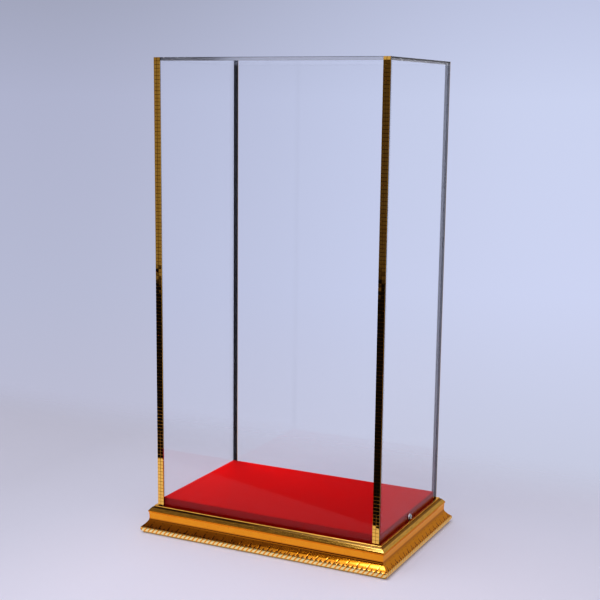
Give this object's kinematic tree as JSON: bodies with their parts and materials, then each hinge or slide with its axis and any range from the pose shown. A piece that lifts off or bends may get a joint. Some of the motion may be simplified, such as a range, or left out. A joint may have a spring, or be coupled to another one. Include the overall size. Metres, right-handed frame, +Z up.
{
  "type": "acrylic display case",
  "caption": "Tall clear acrylic display case: lift-off cover with mirror-mosaic corner trims on a flannel platform in a gilt moulded base.",
  "frame": {"origin": "on the ground under the middle of the case", "axes": "+Z up, +X to the right of the long front side, front towards -Y"},
  "size_m": [0.3344, 0.2244, 0.585],
  "materials": {
    "clear_acrylic": "polished clear",
    "gilt": "burnished gold leaf on moulded wood, browner in the hollows",
    "mirror_mosaic": "gold mirror glass",
    "black_tape": "matt foam",
    "red_flannel": "short nap",
    "fibreboard": "raw",
    "pine": "raw planed",
    "plywood": "raw",
    "screw_steel": "bright zinc",
    "wood_screw_steel": "yellow zinc",
    "clear_nylon": "translucent"
  },
  "bodies": {
    "base": {"deck_screws": "wood_screw_steel", "floor_board": "plywood", "floor_board_screws": "wood_screw_steel", "frame_moulding_front": "gilt", "frame_moulding_left": "gilt", "frame_moulding_rear": "gilt", "frame_moulding_right": "gilt", "frame_screws_front": "wood_screw_steel", "frame_screws_left": "wood_screw_steel", "frame_screws_rear": "wood_screw_steel", "frame_screws_right": "wood_screw_steel", "mitre_nails_front_left": "wood_screw_steel", "mitre_nails_front_right": "wood_screw_steel", "mitre_nails_rear_left": "wood_screw_steel", "mitre_nails_rear_right": "wood_screw_steel", "platform_deck": "fibreboard", "platform_flannel": "red_flannel", "platform_rail_front": "pine", "platform_rail_left": "pine", "platform_rail_rear": "pine", "platform_rail_right": "pine"},
    "cover": {"cover_panel_front": "clear_acrylic", "cover_panel_left": "clear_acrylic", "cover_panel_rear": "clear_acrylic", "cover_panel_right": "clear_acrylic", "cover_panel_top": "clear_acrylic", "trim_mosaic_front_left": "mirror_mosaic", "trim_mosaic_front_right": "mirror_mosaic", "trim_mosaic_rear_left": "mirror_mosaic", "trim_mosaic_rear_right": "mirror_mosaic", "trim_tape_front_left": "black_tape", "trim_tape_front_right": "black_tape", "trim_tape_rear_left": "black_tape", "trim_tape_rear_right": "black_tape"},
    "left_washer": {"screw_washer_left": "clear_nylon"},
    "left_screw": {"side_screw_left": "screw_steel"},
    "right_washer": {"screw_washer_right": "clear_nylon"},
    "right_screw": {"side_screw_right": "screw_steel"}
  },
  "joints": [
    {"name": "cover_lift", "type": "slide", "parent": "base", "child": "cover", "axis": [0, 0, 1], "range_m": [0, 0.6]},
    {"name": "left_screw_travel", "type": "slide", "parent": "base", "child": "left_washer", "axis": [-1, 0, 0], "range_m": [0, 0.016]},
    {"name": "left_screw_turn", "type": "hinge", "parent": "left_washer", "child": "left_screw", "pos_m": [-0.1509, 0, 0.0385], "axis": [-1, 0, 0], "range_deg": [0, 3600]},
    {"name": "right_screw_travel", "type": "slide", "parent": "base", "child": "right_washer", "axis": [1, 0, 0], "range_m": [0, 0.016]},
    {"name": "right_screw_turn", "type": "hinge", "parent": "right_washer", "child": "right_screw", "pos_m": [0.1509, 0, 0.0385], "axis": [1, 0, 0], "range_deg": [0, 3600]}
  ],
  "couplings": [
    {"joint": "left_screw_turn", "follows": "left_screw_travel", "rad_per_m": 3927},
    {"joint": "right_screw_turn", "follows": "right_screw_travel", "rad_per_m": 3927}
  ]
}
